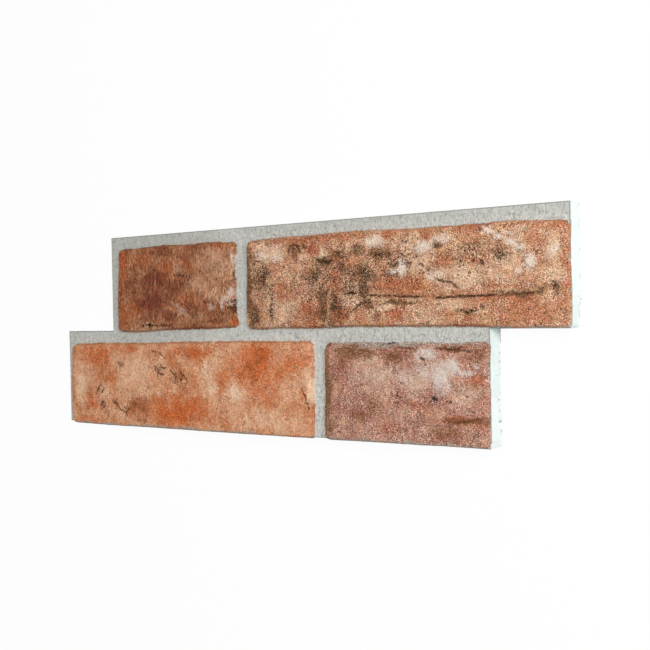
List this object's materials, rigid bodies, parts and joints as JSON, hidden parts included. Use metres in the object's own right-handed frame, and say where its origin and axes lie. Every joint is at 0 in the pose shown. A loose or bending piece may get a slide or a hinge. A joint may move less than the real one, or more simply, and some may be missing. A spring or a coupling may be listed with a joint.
{
  "type": "concrete facing stone",
  "caption": "Flat cast-concrete facing stone with worn brick faces and mortar joints in two offset courses, glued to a wall by its plain back.",
  "frame": {"origin": "middle of the outer box, on the back face", "axes": "+X along the courses, to the right when seen on the wall; +Y up the wall; +Z out of the wall. Stored lying on its back."},
  "size_m": [0.444, 0.1517, 0.02],
  "materials": {
    "stained_concrete": "matt rough cast concrete, stained red and buff on the bricks, grey in the joints"
  },
  "bodies": {
    "root": {"facing_stone": "stained_concrete"}
  },
  "joints": []
}
